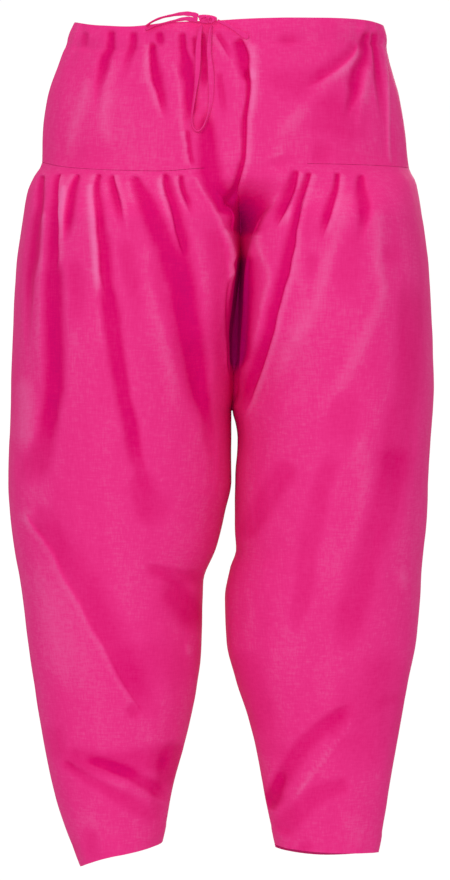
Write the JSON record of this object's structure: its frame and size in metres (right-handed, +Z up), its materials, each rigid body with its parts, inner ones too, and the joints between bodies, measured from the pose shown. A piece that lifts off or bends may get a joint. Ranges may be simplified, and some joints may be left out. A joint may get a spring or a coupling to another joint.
{
  "type": "patiala salwar",
  "caption": "Pleated cotton patiala salwar in its worn, hollow form: plain yoke with a drawstring casing, full gathered legs that narrow to plain hems.",
  "frame": {"origin": "middle of the waist opening, level with its top edge", "axes": "+Z up along the garment, -Y out of its front, +X towards the wearer's left"},
  "size_m": [0.4889, 0.3024, 0.9708],
  "materials": {
    "yoke_cotton": "plain light cotton, hot pink, soft low sheen",
    "leg_cotton": "plain light cotton, hot pink, soft low sheen, pressed pleats",
    "gusset_cotton": "plain light cotton, hot pink, soft low sheen",
    "drawstring_cotton": "narrow cotton drawstring of the same cloth"
  },
  "bodies": {
    "root": {"yoke_front_right": "yoke_cotton", "yoke_front_left": "yoke_cotton", "yoke_back": "yoke_cotton", "gusset_front": "gusset_cotton", "gusset_back": "gusset_cotton", "leg_front_right": "leg_cotton", "leg_front_left": "leg_cotton", "leg_back_right": "leg_cotton", "leg_back_left": "leg_cotton", "drawstring_knot": "drawstring_cotton", "drawstring_upper_strand": "drawstring_cotton", "drawstring_lower_strand": "drawstring_cotton", "drawstring_loop": "drawstring_cotton", "drawstring_short_end": "drawstring_cotton"}
  },
  "joints": []
}
